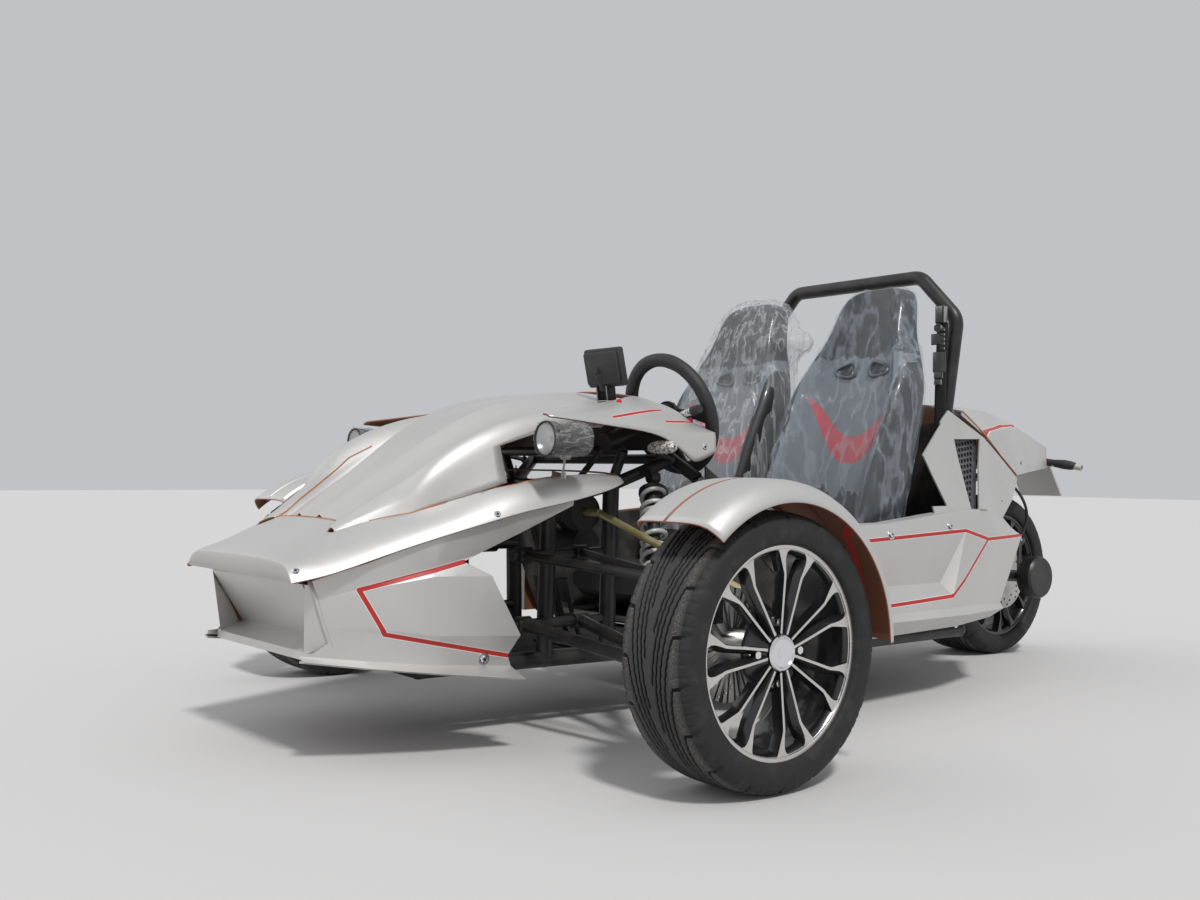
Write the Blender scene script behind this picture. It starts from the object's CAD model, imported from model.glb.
import math

import bmesh
import bpy
from mathutils import Matrix, Vector, noise


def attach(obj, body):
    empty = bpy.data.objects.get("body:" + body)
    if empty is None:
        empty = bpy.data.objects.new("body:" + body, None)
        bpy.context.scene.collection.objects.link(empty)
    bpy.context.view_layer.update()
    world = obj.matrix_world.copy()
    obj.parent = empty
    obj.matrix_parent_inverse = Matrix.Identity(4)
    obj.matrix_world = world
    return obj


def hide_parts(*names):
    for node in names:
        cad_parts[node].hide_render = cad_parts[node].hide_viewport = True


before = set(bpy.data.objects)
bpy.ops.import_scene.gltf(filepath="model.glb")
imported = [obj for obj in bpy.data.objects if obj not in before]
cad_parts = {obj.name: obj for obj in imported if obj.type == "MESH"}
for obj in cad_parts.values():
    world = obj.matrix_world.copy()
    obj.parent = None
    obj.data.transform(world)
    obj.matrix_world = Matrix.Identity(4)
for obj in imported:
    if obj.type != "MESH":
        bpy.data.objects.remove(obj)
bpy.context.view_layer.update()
scene = bpy.context.scene


# Adds an object to the scene.
def linked(name, data):
    made = bpy.data.objects.new(name, data)
    scene.collection.objects.link(made)
    return made


# Camera: a phone held at 0.64 m, off the front left corner of the car.
# The angles are those of a camera fitted to the round wheels and the level ground.
camera_place = Vector((2.7105, -2.7746, 0.6394))
camera_yaw = math.radians(50.87)
camera_pitch = math.radians(0.88)
camera_roll = math.radians(0.57)
look = Vector((
    -math.sin(camera_yaw) * math.cos(camera_pitch),
    math.cos(camera_yaw) * math.cos(camera_pitch),
    math.sin(camera_pitch),
))
level_right = Vector((math.cos(camera_yaw), math.sin(camera_yaw), 0))
level_up = level_right.cross(look)
right = level_right * math.cos(camera_roll) + level_up * math.sin(camera_roll)
up = right.cross(look)
camera_data = bpy.data.cameras.new("camera")
camera_data.sensor_width = 36
camera_data.lens = 38.156
camera = linked("camera", camera_data)
camera.matrix_world = Matrix((
    (right.x, up.x, -look.x, camera_place.x),
    (right.y, up.y, -look.y, camera_place.y),
    (right.z, up.z, -look.z, camera_place.z),
    (0, 0, 0, 1),
))
scene.camera = camera
scene.view_settings.view_transform = "Standard"


# Finishes: the paint on the mouldings and tubes, and every other surface, is
# worked out by nodes in each material. Sums and products of values are written
# as plain expressions, and every other node is added by one method.
class Value:
    def __init__(self, finish, socket):
        self.finish = finish
        self.socket = socket

    def math(self, operation, other=0.0, clamp=False, swap=False):
        pair = (other, self) if swap else (self, other)
        return self.finish.node("ShaderNodeMath", {"operation": operation, "use_clamp": clamp}, *pair)

    def __add__(self, other):
        return self.math("ADD", other)

    def __sub__(self, other):
        return self.math("SUBTRACT", other)

    def __rsub__(self, other):
        return self.math("SUBTRACT", other, swap=True)

    def __mul__(self, other):
        return self.math("MULTIPLY", other)

    def __truediv__(self, other):
        return self.math("DIVIDE", other)

    def __lt__(self, other):
        return self.math("LESS_THAN", other)

    def __gt__(self, other):
        return self.math("GREATER_THAN", other)

    def __abs__(self):
        return self.math("ABSOLUTE")

    __radd__ = __add__
    __rmul__ = __mul__

    def between(self, low, high):
        spread = {"interpolation_type": "SMOOTHSTEP"}
        return self.finish.node("ShaderNodeMapRange", spread, self, low, high, 0.0, 1.0)


class Finish:
    def __init__(self, name, color=(0.5, 0.5, 0.5), **constants):
        self.material = bpy.data.materials.new(name)
        self.material.use_nodes = True
        self.tree = self.material.node_tree
        self.shader = self.tree.nodes["Principled BSDF"]
        self.shader.inputs["Base Color"].default_value = (*color, 1)
        for socket, value in constants.items():
            self.shader.inputs[socket.replace("_", " ")].default_value = value
        place_node = self.tree.nodes.new("ShaderNodeTexCoord")
        self.spot = Value(self, place_node.outputs["Object"])

    def feed(self, socket, value):
        if isinstance(value, Value):
            self.tree.links.new(value.socket, socket)
        elif isinstance(value, (tuple, Vector)) and len(value) == 3 and len(socket.default_value) == 4:
            socket.default_value = (*value, 1)
        else:
            socket.default_value = value

    def node(self, kind, settings, *values, out=0):
        made = self.tree.nodes.new(kind)
        for key, value in settings.items():
            if key == "stops":
                ramp = made.color_ramp
                for position, tone in value[1:-1]:
                    ramp.elements.new(position).color = (*tone, 1)
                for end, (position, tone) in ((0, value[0]), (len(value) - 1, value[-1])):
                    ramp.elements[end].position = position
                    ramp.elements[end].color = (*tone, 1)
            else:
                setattr(made, key, value)
        for index, value in enumerate(values):
            if value is not None:
                self.feed(made.inputs[index], value)
        return Value(self, made.outputs[out])

    def set(self, **values):
        for socket, value in values.items():
            self.feed(self.shader.inputs[socket.replace("_", " ")], value)

    def axes(self):
        return [self.node("ShaderNodeSeparateXYZ", {}, self.spot, out=i) for i in range(3)]

    def stretched(self, x, y, z):
        return self.node("ShaderNodeVectorMath", {"operation": "MULTIPLY"}, self.spot, (x, y, z))

    def noise(self, scale, detail=2.0, spot=None):
        return self.node("ShaderNodeTexNoise", {}, spot or self.spot, None, scale, detail)

    def mix(self, share, a, b):
        settings = {"data_type": "RGBA"}
        return self.node("ShaderNodeMix", settings, share, None, None, None, None, None, a, b, out=2)

    def bump(self, height, distance, strength=1.0):
        made = self.tree.nodes.new("ShaderNodeBump")
        for socket, value in (("Height", height), ("Distance", distance), ("Strength", strength)):
            self.feed(made.inputs[socket], value)
        if self.shader.inputs["Normal"].is_linked:
            self.tree.links.new(self.shader.inputs["Normal"].links[0].from_socket, made.inputs["Normal"])
        self.feed(self.shader.inputs["Normal"], Value(self, made.outputs[0]))

    def coarse(self, base, spread, scale):
        self.set(Roughness=base + spread * self.noise(scale, 3))


sides = ((1, "left"), (-1, "right"))
front_axle_y = -907
rear_axle_back = 2098
wheel_x = 908
axle_z = 281
skin_wall = 0.0045
upwards = Vector((0, 0, 1))


# Turns millimetres, counted back from the front axle, into a place in metres.
def place(x, y, z):
    return Vector((x, y + front_axle_y, z)) / 1000


# Silver paint on moulded sheet: satin, with fine flake, and red tape laid
# along the straight runs that a piece names, with a thin pale line at each edge.
tape_half = 0.0048
tape_edge = 0.0062


# How near each place on a surface is to the nearest run, as seen along one axis.
def nearness(paint, runs, flat):
    x, y, z = paint.axes()
    folded = paint.node("ShaderNodeCombineXYZ", {}, abs(x), y, z)
    nearest = None
    for a, b in runs:
        start = place(*a) * flat
        along = place(*b) * flat - start
        seen = paint.node("ShaderNodeVectorMath", {"operation": "MULTIPLY"}, folded, flat)
        away = paint.node("ShaderNodeVectorMath", {"operation": "SUBTRACT"}, seen, start)
        slope = along / along.length_squared
        share = paint.node("ShaderNodeVectorMath", {"operation": "DOT_PRODUCT"}, away, slope, out=1)
        share = share.math("ADD", 0.0, clamp=True)
        foot = paint.node("ShaderNodeVectorMath", {"operation": "SCALE"}, along, None, None, share)
        gap = paint.node("ShaderNodeVectorMath", {"operation": "DISTANCE"}, away, foot, out=1)
        nearest = gap if nearest is None else nearest.math("MINIMUM", gap)
    return nearest


def silver_paint(name, runs=(), flat=Vector((1, 1, 1)), narrow=1.0):
    metal = 0.62
    paint = Finish(name, Metallic=metal, Roughness=0.42)
    cloud = paint.noise(4.0, 3.0)
    flake = paint.noise(1400.0, 1.0)
    color = paint.mix(cloud, (0.54, 0.53, 0.515), (0.64, 0.635, 0.62))
    color = paint.mix(flake.between(0.55, 0.75) * 0.25, color, (0.86, 0.86, 0.86))
    if runs:
        gap = nearness(paint, runs, flat) * (1 / narrow)
        color = paint.mix(gap < tape_edge, color, (0.74, 0.7, 0.67))
        color = paint.mix(gap < tape_half, color, (0.45, 0.02, 0.017))
        metal = metal - metal * (gap < tape_edge)
    paint.set(Base_Color=color, Metallic=metal, Roughness=0.4 + 0.14 * paint.noise(60.0, 4.0))
    paint.bump(flake, 0.00006)
    paint.bump(paint.noise(7.0, 2.0), 0.0016, 0.5)
    return paint.material


# Raw moulded sheet, red brown, seen on every cut edge and inner face
raw_sheet = Finish("raw_sheet", Roughness=0.6)
raw_color = raw_sheet.mix(raw_sheet.noise(9.0, 4.0), (0.22, 0.085, 0.045), (0.33, 0.15, 0.085))
raw_sheet.set(Base_Color=raw_color)
raw_sheet.coarse(0.5, 0.25, 40.0)
raw_sheet.bump(raw_sheet.noise(180.0, 3.0), 0.0004)
raw_sheet = raw_sheet.material
plain_silver = silver_paint("silver_plain")


# Runs modifiers on a form and gives the finished form back.
def worked(bm, *steps):
    mesh = bpy.data.meshes.new("worked")
    bm.to_mesh(mesh)
    bm.free()
    holder = linked("worked", mesh)
    for kind, settings in steps:
        step = holder.modifiers.new(kind, kind)
        for key, value in settings.items():
            setattr(step, key, value)
    graph = bpy.context.evaluated_depsgraph_get()
    result = bpy.data.meshes.new_from_object(holder.evaluated_get(graph))
    made = bmesh.new()
    made.from_mesh(result)
    bpy.data.objects.remove(holder)
    bpy.data.meshes.remove(mesh)
    bpy.data.meshes.remove(result)
    return made


# Turns the faces of a closed form outwards.
def outwards(bm):
    bmesh.ops.recalc_face_normals(bm, faces=bm.faces)


# The column and the row of each vertex of a flat grid.
def cells_of(bm, columns, rows):
    return {vert: (round((vert.co.x + 0.5) * columns), round((vert.co.y + 0.5) * rows)) for vert in bm.verts}


# Draws a moulded skin: a grid whose rows are put at stations along the car, each
# (distance back, points of its section). The skin is then smoothed, except along
# the columns that are named as sharp, each with how sharp it is.
def drawn_skin(stations, sharp=None, smooth=2, mirrored=True):
    columns = len(stations[0][1]) - 1
    rows = len(stations) - 1
    bm = bmesh.new()
    bmesh.ops.create_grid(bm, x_segments=columns, y_segments=rows, size=0.5)
    crease = bm.edges.layers.float.new("crease_edge")
    cells = cells_of(bm, columns, rows)
    for edge in bm.edges:
        first, second = (cells[vert][0] for vert in edge.verts)
        if first == second:
            edge[crease] = (sharp or {}).get(first, 0.0)
    for vert, (column, row) in cells.items():
        y, points = stations[row]
        vert.co = place(points[column][0], y, points[column][1])
    if mirrored:
        bmesh.ops.mirror(bm, geom=bm.verts[:] + bm.edges[:] + bm.faces[:], axis="X", merge_dist=0.0001)
        outwards(bm)
    if smooth:
        rounding = {"levels": smooth, "render_levels": smooth, "boundary_smooth": "PRESERVE_CORNERS"}
        bm = worked(bm, ("SUBSURF", rounding))
    return bm


# Turns a skin the right way out: most of its area faces the given direction.
def face_out(bm, outside):
    if sum(face.normal.dot(outside) * face.calc_area() for face in bm.faces) < 0:
        bmesh.ops.reverse_faces(bm, faces=bm.faces)


# Cuts an outline out of a skin, as seen along one axis (0 from the side, 2 from above).
def cut_out(bm, outline, axis, keep=lambda spot: False):
    u, v = [i for i in range(3) if i != axis]
    sight = Vector([i == axis for i in range(3)])
    low = [min(p[i] for p in outline) - 0.002 for i in (u, v)]
    high = [max(p[i] for p in outline) + 0.002 for i in (u, v)]

    def near(face):
        spots = [vert.co for vert in face.verts]
        return not keep(face.calc_center_median()) and all(
            max(s[i] for s in spots) > low[k] and min(s[i] for s in spots) < high[k] for k, i in enumerate((u, v))
        )

    for a, b in zip(outline, outline[1:] + outline[:1]):
        faces = [face for face in bm.faces if near(face)]
        edges = list({edge for face in faces for edge in face.edges})
        verts = list({vert for face in faces for vert in face.verts})
        normal = (b - a).cross(sight)
        bmesh.ops.bisect_plane(bm, geom=verts + edges + faces, plane_co=a, plane_no=normal, dist=0.00002)

    def inside(spot):
        hits = 0
        for a, b in zip(outline, outline[1:] + outline[:1]):
            if (a[v] > spot[v]) != (b[v] > spot[v]):
                hits += spot[u] < a[u] + (b[u] - a[u]) * (spot[v] - a[v]) / (b[v] - a[v])
        return hits % 2

    gone = [face for face in bm.faces if not keep(face.calc_center_median()) and inside(face.calc_center_median())]
    bmesh.ops.delete(bm, geom=gone, context="FACES")


def mirrored_outline(outline):
    return [Vector((-p.x, p.y, p.z)) for p in reversed(outline)]


# Makes a finished piece of a mesh, which rides on a body and may stand for frame nodes.
def fitted(bm, name, body, finishes, stands_for=(), sharp=32):
    mesh = bpy.data.meshes.new(name)
    bm.to_mesh(mesh)
    bm.free()
    for finish in finishes:
        mesh.materials.append(finish)
    for polygon in mesh.polygons:
        polygon.use_smooth = True
    mesh.set_sharp_from_angle(angle=math.radians(sharp))
    made = linked(name, mesh)
    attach(made, body)
    if stands_for:
        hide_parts(*stands_for)
    return made


# Gives a skin its wall, inwards, with raw sheet on the inner face and the cut edges.
def walled(made, thickness):
    wall = made.modifiers.new("wall", "SOLIDIFY")
    wall.thickness = thickness
    wall.offset = -1
    wall.use_even_offset = True
    wall.material_offset = 1
    wall.material_offset_rim = 1


# Makes a silver panel of a skin.
def panel(bm, name, silver, stands_for=()):
    walled(fitted(bm, name, "chassis", [silver, raw_sheet], stands_for), skin_wall)


# Hood: one moulded skin, with a ridge each side of the middle, and beyond a sunk
# valley a pod that rises over each lamp. It sits in the gap of the nose cover.
hood_stations = [
    (-576, [
        (0, 484), (14, 484), (46, 492), (80, 485), (140, 487), (146, 499),
        (164, 505), (183, 501), (186, 500), (189, 499), (192, 497),
    ]),
    (-530, [
        (0, 514), (15, 514), (49, 525), (85, 515), (148, 511), (157, 527),
        (182, 533), (205, 523), (208, 519), (211, 514), (214, 508),
    ]),
    (-460, [
        (0, 566), (18, 566), (53, 578), (90, 565), (166, 553), (176, 573),
        (206, 581), (236, 556), (240, 549), (244, 536), (247, 524),
    ]),
    (-425, [
        (0, 590), (19, 590), (54, 601), (92, 588), (178, 572), (188, 594),
        (222, 604), (258, 574), (263, 566), (268, 550), (274, 536),
    ]),
    (-390, [
        (0, 615), (20, 615), (56, 625), (94, 611), (188, 592), (198, 612),
        (234, 632), (264, 634), (282, 618), (286, 590), (286, 548),
    ]),
    (-320, [
        (0, 666), (22, 666), (58, 674), (98, 660), (206, 632), (216, 648),
        (244, 682), (272, 694), (298, 672), (306, 628), (312, 569),
    ]),
    (-207, [
        (0, 746), (26, 746), (62, 752), (106, 740), (222, 698), (234, 708),
        (258, 736), (282, 748), (308, 728), (322, 680), (346, 610),
    ]),
    (-60, [
        (0, 811), (30, 811), (66, 814), (112, 808), (214, 776), (226, 776),
        (252, 784), (280, 788), (304, 770), (322, 726), (344, 650),
    ]),
    (130, [
        (0, 843), (32, 843), (70, 842), (116, 838), (190, 822), (204, 816),
        (232, 808), (262, 800), (284, 790), (292, 780), (298, 768),
    ]),
    (268, [
        (0, 843), (24, 842), (46, 841), (70, 840), (104, 836), (118, 834),
        (136, 826), (154, 816), (170, 804), (180, 794), (186, 786),
    ]),
]
ridge_rise = {1: -2.5, 2: 5.5, 3: -2.5, 4: -6}
ridges_part = 50


# Holds a share between none and all.
def clamped(share):
    return min(1, max(0, share))


# The two ridges part towards the back, where they are lower, and the skin between
# them stays as it is.
def ridged(y, points):
    part = ridges_part * clamped((y + 560) / 400) ** 1.6 * clamped((240 - y) / 300)
    plain = [points[0], points[1], *points[3:]]

    def level(x):
        for (x0, z0), (x1, z1) in zip(plain, plain[1:]):
            if x <= x1:
                return z0 + (z1 - z0) * (x - x0) / (x1 - x0)

    moved = [(x + part, level(x + part) + z - level(x)) for x, z in points[1:4]]
    fade = min(1, max(0.3, (200 - y) / 300))
    return [
        (x, z + ridge_rise.get(column, 0) * fade)
        for column, (x, z) in enumerate([points[0], *moved, *points[4:]])
    ]


hood_stations = [(y, ridged(y, points)) for y, points in hood_stations]
hood = drawn_skin(hood_stations, sharp={2: 0.95, 1: 0.5, 3: 0.5, 4: 0.8, 5: 0.6, 7: 0.3, 10: 1.0})
face_out(hood, upwards)
notch = [(0, -620), (0, -529), (139, -529), (180, -569), (186, -566), (260, -566), (260, -620)]
notch = [place(*spot, 0) for spot in notch]
cut_out(hood, notch, 2)
cut_out(hood, mirrored_outline(notch), 2)
lamp_mouth = [place(0, *p) for p in ((-207, 560), (-212, 692), (-60, 738), (140, 744), (140, 560))]
cut_out(hood, lamp_mouth, 0, keep=lambda spot: abs(spot.x) < 0.286)
panel(hood, "hood_skin", plain_silver, ["hood"])

# Nose cover: a band round the front and both sides of the hood, whose shoulder
# rolls over to a narrow upright edge; it comes out of the mould as one piece.
cover_stations = [
    (-705, [(0, 443), (110, 442), (190, 440), (238, 436), (262, 424), (278, 404), (282, 399)]),
    (-690, [(0, 452), (112, 451), (194, 449), (243, 444), (268, 431), (283, 409), (287, 402)]),
    (-640, [(0, 474), (118, 473), (200, 468), (251, 455), (280, 438), (298, 418), (301, 411)]),
    (-573, [(0, 506), (150, 505), (222, 494), (262, 480), (298, 460), (315, 440), (319, 433)]),
    (-460, [(0, 562), (180, 556), (252, 532), (298, 512), (328, 496), (341, 478), (344, 471)]),
    (-300, [(0, 606), (240, 602), (306, 590), (340, 566), (368, 544), (380, 524), (383, 517)]),
    (-200, [(0, 626), (270, 622), (330, 616), (362, 603), (386, 578), (396, 552), (399, 544)]),
    (-80, [(0, 638), (270, 634), (334, 630), (364, 620), (390, 598), (400, 572), (403, 563)]),
    (60, [(0, 642), (270, 638), (330, 634), (358, 626), (378, 610), (387, 598), (389, 591)]),
    (118, [(0, 640), (270, 636), (326, 630), (348, 622), (358, 614), (362, 611), (363, 608)]),
]
cover = drawn_skin(cover_stations, sharp={3: 0.25, 5: 0.3, 6: 1.0})
face_out(cover, upwards)
hood_gap = [
    (0, -534), (139, -534), (181, -575), (196, -572), (219, -515), (252, -460), (279, -420), (318, -300),
    (350, -200), (348, -80), (338, 116),
]
gap_outline = [place(*p, 0) for p in [(-x, y) for x, y in reversed(hood_gap)] + hood_gap]
cut_out(cover, gap_outline, 2)
front_y = place(0, -704, 0).y
front_edge = [edge for edge in cover.edges if edge.is_boundary and all(vert.co.y < front_y for vert in edge.verts)]
lip = bmesh.ops.extrude_edge_only(cover, edges=front_edge)["geom"]
for vert in lip:
    if isinstance(vert, bmesh.types.BMVert):
        vert.co.y += 0.002
        vert.co.z = 0.4 + 0.001 * (vert.co.x < 0)
panel(cover, "nose_cover_skin", plain_silver, ["nose_cover"])


# Faceted mouldings: the nose face with its fins, the side panels and the tail. Their
# shape is the frame's, merged, with its edges rounded as a mould leaves them.
def moulded(node, silver, radius, inward):
    bm = bmesh.new()
    bm.from_mesh(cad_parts[node].data)
    bmesh.ops.remove_doubles(bm, verts=bm.verts, dist=0.00001)
    bmesh.ops.dissolve_limit(bm, angle_limit=math.radians(1.5), verts=bm.verts, edges=bm.edges)
    for face in bm.faces:
        face.material_index = int(inward(face))
    made = fitted(bm, node + "_moulding", "chassis", [silver, raw_sheet], [node])
    edge = made.modifiers.new("edge", "BEVEL")
    edge.width = radius
    edge.segments = 2
    edge.limit_method = "ANGLE"
    edge.angle_limit = math.radians(14)
    edge.harden_normals = True


# Says which faces of a side moulding look towards the middle of the car.
def looks_in(hand, above=0.0):
    return lambda face: face.normal.x * hand < -0.75 and face.calc_center_median().z > above


side_view = Vector((0, 1, 1))
nose_runs = [((0, -558, 379), (0, -332, 434)), ((0, -558, 379), (0, -503, 282)), ((0, -503, 282), (0, -223, 221))]
nose_silver = silver_paint("silver_nose_side", nose_runs, side_view)
flank_corners = [(0, 700, 459), (0, 1229, 476), (0, 1388, 446), (0, 1740, 446)]
flank_runs = list(zip(flank_corners, flank_corners[1:]))
flank_runs += [((0, 1388, 446), (0, 1180, 292)), ((0, 1180, 292), (0, 700, 281))]
flank_silver = silver_paint("silver_flank", flank_runs, side_view)
tail_runs = [
    ((398, 1549, 762), (170, 2060, 808)), ((95, 2392, 738), (100, 2392, 662)), ((0, 2060, 850), (0, 2390, 773)),
]
tail_silver = silver_paint("silver_tail", tail_runs, Vector((1, 1, 0)))
moulded("nose_lower", plain_silver, 0.002, lambda face: face.normal.y > 0.95)
for hand, side in sides:
    moulded("nose_side_" + side, nose_silver, 0.003, looks_in(hand, above=0.25))
    moulded("side_panel_" + side, flank_silver, 0.004, looks_in(hand))
moulded("tail_cowl", tail_silver, 0.003, lambda face: face.normal.z < -0.2)

# Cowl: two wings that reach forward over the lamps, each folded down at its
# outer edge, and a band that joins them behind the hood, over the dash.
wing_stations = [
    (-158, [(404, 766), (411, 765), (419, 763.5), (426, 761), (428, 758)]),
    (-80, [(360, 778), (384, 775), (408, 769), (425, 758), (427, 752)]),
    (0, [(322, 790), (350, 789), (384, 779), (424, 752), (426, 744)]),
    (100, [(308, 804), (332, 801), (370, 788), (423, 745), (424, 736)]),
    (204, [(262, 822), (310, 812), (358, 792), (422, 737), (422, 722)]),
    (270, [(214, 832), (285, 816), (350, 790), (425, 734), (429, 671)]),
    (291, [(213, 830), (285, 813), (350, 787), (428, 734), (431, 656)]),
    (330, [(211, 822), (284, 806), (348, 780), (431, 734), (432, 672)]),
    (370, [(210, 813), (282, 798), (345, 772), (433, 735), (433, 690)]),
]
wing_runs = [((403, 50, 763), (353, 243, 791)), ((395, 225, 760), (385, 335, 762))]
wing_silver = silver_paint("silver_cowl", wing_runs, Vector((1, 1, 0)), narrow=0.7)
wings = drawn_skin(wing_stations, sharp={0: 1.0, 2: 0.3, 3: 0.9, 4: 1.0})
face_out(wings, upwards)
wheel_room = [place(*p, 0) for p in ((0, 322), (388, 322), (442, 366), (442, 420), (0, 420))]
cut_out(wings, wheel_room, 2)
cut_out(wings, mirrored_outline(wheel_room), 2)
panel(wings, "cowl_wings", wing_silver, ["cowl"])
band_stations = [
    (272, [(0, 851), (60, 848), (140, 841), (213, 831)]),
    (300, [(0, 848), (60, 845), (140, 838), (212, 828)]),
    (322, [(0, 842), (60, 839), (140, 832), (211, 822)]),
]
band = drawn_skin(band_stations, sharp={3: 1.0})
face_out(band, upwards)
panel(band, "cowl_band", wing_silver)

# Mudguards: one moulded sheet each, turned about the wheel, with a rolled outer lip
# and a pressed groove along the crown, left raw; raw inside, with one run of tape.
guard_profile = [
    (801, 326), (803, 334), (808, 340), (818, 343), (840, 344.5), (880, 345), (886, 345), (889, 342),
    (892, 342), (895, 345), (902, 345), (940, 344.5), (966, 343.5), (986, 340), (1002, 332), (1013, 320),
    (1020, 308), (1023, 298),
]
guard_start = math.radians(49)
guard_sweep = math.radians(131)
groove_sides = (0.887, 0.892)
raw_guard = Finish("raw_guard", Roughness=0.55)
guard_gap = nearness(raw_guard, [((924, 330, 0), (934, 256, 0)), ((934, 256, 0), (1000, 216, 0))], Vector((1, 1, 0)))
guard_color = raw_guard.mix(raw_guard.noise(7.0, 3.0), (0.26, 0.09, 0.045), (0.36, 0.15, 0.08))
guard_color = raw_guard.mix(guard_gap < 0.008, guard_color, (0.75, 0.05, 0.03))
raw_guard.set(Base_Color=guard_color, Roughness=0.45 + 0.2 * raw_guard.noise(30.0, 3.0))
raw_guard.bump(raw_guard.noise(160.0, 3.0), 0.0003)
stay_paint = Finish("stay_black", (0.02, 0.02, 0.021), Roughness=0.4)
stay_paint.bump(stay_paint.noise(420.0, 3.0), 0.0002)


# Turns a form for the left side into the one for the right.
def mirrored_form(bm):
    bmesh.ops.scale(bm, vec=(-1, 1, 1), verts=bm.verts)
    bmesh.ops.reverse_faces(bm, faces=bm.faces)


# Adds a rod from one place to another, which tapers if it has a tip.
def add_rod(bm, start, end, radius, segments=16, tip=None):
    run = end - start
    turn = run.to_track_quat("Z", "Y").to_matrix().to_4x4()
    bmesh.ops.create_cone(
        bm, cap_ends=True, segments=segments, radius1=radius, radius2=tip or radius, depth=run.length,
        matrix=Matrix.Translation((start + end) / 2) @ turn,
    )


# Adds a rod that reaches as far to one side of its middle as to the other.
def add_pin(bm, middle, reach, *form):
    add_rod(bm, middle - Vector(reach), middle + Vector(reach), *form)


# Adds rods by their two ends in millimetres, the radius and the number of sides,
# and a second radius where a rod tapers.
def add_rods(bm, rods, hand=1):
    for start, end, *form in rods:
        add_rod(bm, *[place(hand * x, y, z) for x, y, z in (start, end)], *form)


for hand, side in sides:
    guard = bmesh.new()
    row = [
        guard.verts.new(place(x, -radius * math.cos(guard_start), axle_z + radius * math.sin(guard_start)))
        for x, radius in guard_profile
    ]
    line = [guard.edges.new(pair) for pair in zip(row, row[1:])]
    bmesh.ops.spin(
        guard, geom=row + line, cent=place(0, 0, axle_z), axis=(1, 0, 0), dvec=(0, 0, 0),
        angle=-guard_sweep, steps=44,
    )
    face_out(guard, upwards)
    for face in guard.faces:
        if groove_sides[0] < face.calc_center_median().x < groove_sides[1]:
            face.material_index = 2
    if side == "right":
        mirrored_form(guard)
    guard_finishes = [plain_silver, raw_guard.material, raw_sheet]
    walled(fitted(guard, "mudguard_sheet_" + side, "knuckle_" + side, guard_finishes), 0.004)
    stay = bmesh.new()
    add_rods(stay, [((794, -48, 352), (802, -48, 614), 0.008), ((802, -48, 606), (812, -48, 618), 0.011)], hand)
    stands_for = ["mudguard_" + side]
    fitted(stay, "mudguard_stay_" + side, "knuckle_" + side, [stay_paint.material], stands_for)

# Tyres: low profile rubber, worn matt. The tread has long swept grooves that
# start at a hooked groove in each shoulder, and short sipes between the hooks.
crown_drop = 5.2
rubber = Finish("tyre_rubber", (0.016, 0.016, 0.017), Roughness=0.8, Specular_IOR_Level=0.35)
rubber_dust = rubber.noise(26.0, 6.0).between(0.48, 0.7)
rubber_grit = rubber.noise(420.0, 2.0).between(0.45, 0.65)
rubber_x, rubber_y, rubber_z = rubber.axes()
rubber_across = abs(abs(rubber_x) - wheel_x / 1000).math("MINIMUM", abs(rubber_x))
rubber_back = rubber_y - front_axle_y / 1000 - rear_axle_back / 1000 * (rubber_y > 0.2)
rubber_up = rubber_z - axle_z / 1000
rubber_radius = (rubber_back * rubber_back + rubber_up * rubber_up).math("SQRT")
rubber_crown = axle_z / 1000 - crown_drop / 1000 * (rubber_across / 0.08).math("POWER", 4.0)
on_tread = rubber_across < 0.079
in_groove = (rubber_crown - rubber_radius > 0.0022) * on_tread
shoulder_dust = (rubber_across.between(0.052, 0.064) - rubber_across.between(0.068, 0.078)) * rubber_grit
rubber_color = rubber.mix(rubber_dust * (0.12 + 0.3 * rubber_grit), (0.02, 0.02, 0.021), (0.075, 0.07, 0.065))
rubber_color = rubber.mix(on_tread * 0.6, rubber_color, (0.062, 0.061, 0.06))
rubber_color = rubber.mix(shoulder_dust * (rubber_radius > 0.27) * 0.6, rubber_color, (0.2, 0.18, 0.155))
rubber.set(
    Base_Color=rubber.mix(in_groove, rubber_color, (0.003, 0.003, 0.003)),
    Roughness=0.56 + 0.24 * rubber.noise(90.0, 3.0),
)
rubber.bump(rubber.noise(260.0, 4.0), 0.0005)
tread_pitches = 18
pitch_rows = 28
pitch_length = 98
# half the front tyre's width: the cuts are drawn on it, and spread to the rear one's
nominal_half = 98
tread_rows = tread_pitches * pitch_rows
groove_life = 4
hook_from = 62
hook_end = 93
sipe_from = 70
tread_columns = 58
# depth of each cut, half its width at the crown, width of its slope
groove_cut = (5.5, 3.4, 1.6)
hook_cut = (5.5, 4.4, 2.2)
sipe_cut = (2.2, 2.0, 1.2)


# How deep a cut is, at a gap from its middle line.
def carved(cut, gap):
    deep, half, slope = cut
    return deep * clamped((half - gap) / slope)


# How deep the tread is cut at a place across the tyre and round it, in pitches.
# Each groove starts at its side's hook and nears the middle over four pitches.
def groove_at(across, turn):
    reach = abs(across)
    depth = 0.0
    turn += 0.5 * (across < 0)
    for age in range(groove_life):
        share = (turn % 1 + age) / groove_life
        middle = hook_from - (hook_from - 9) * share ** 0.75
        depth = max(depth, carved(groove_cut, abs(reach - middle)))
    if reach > hook_from - 2:
        hook = abs((turn + 0.12 * ((reach - hook_from) / 34) ** 2 + 0.5) % 1 - 0.5) * pitch_length
        if reach < hook_end:
            depth = max(depth, carved(hook_cut, hook))
        if reach > sipe_from:
            sipe = abs((turn * 4 + 0.5) % 1 - 0.5) * pitch_length / 4
            depth = max(depth, carved(sipe_cut, sipe))
    return depth


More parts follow.
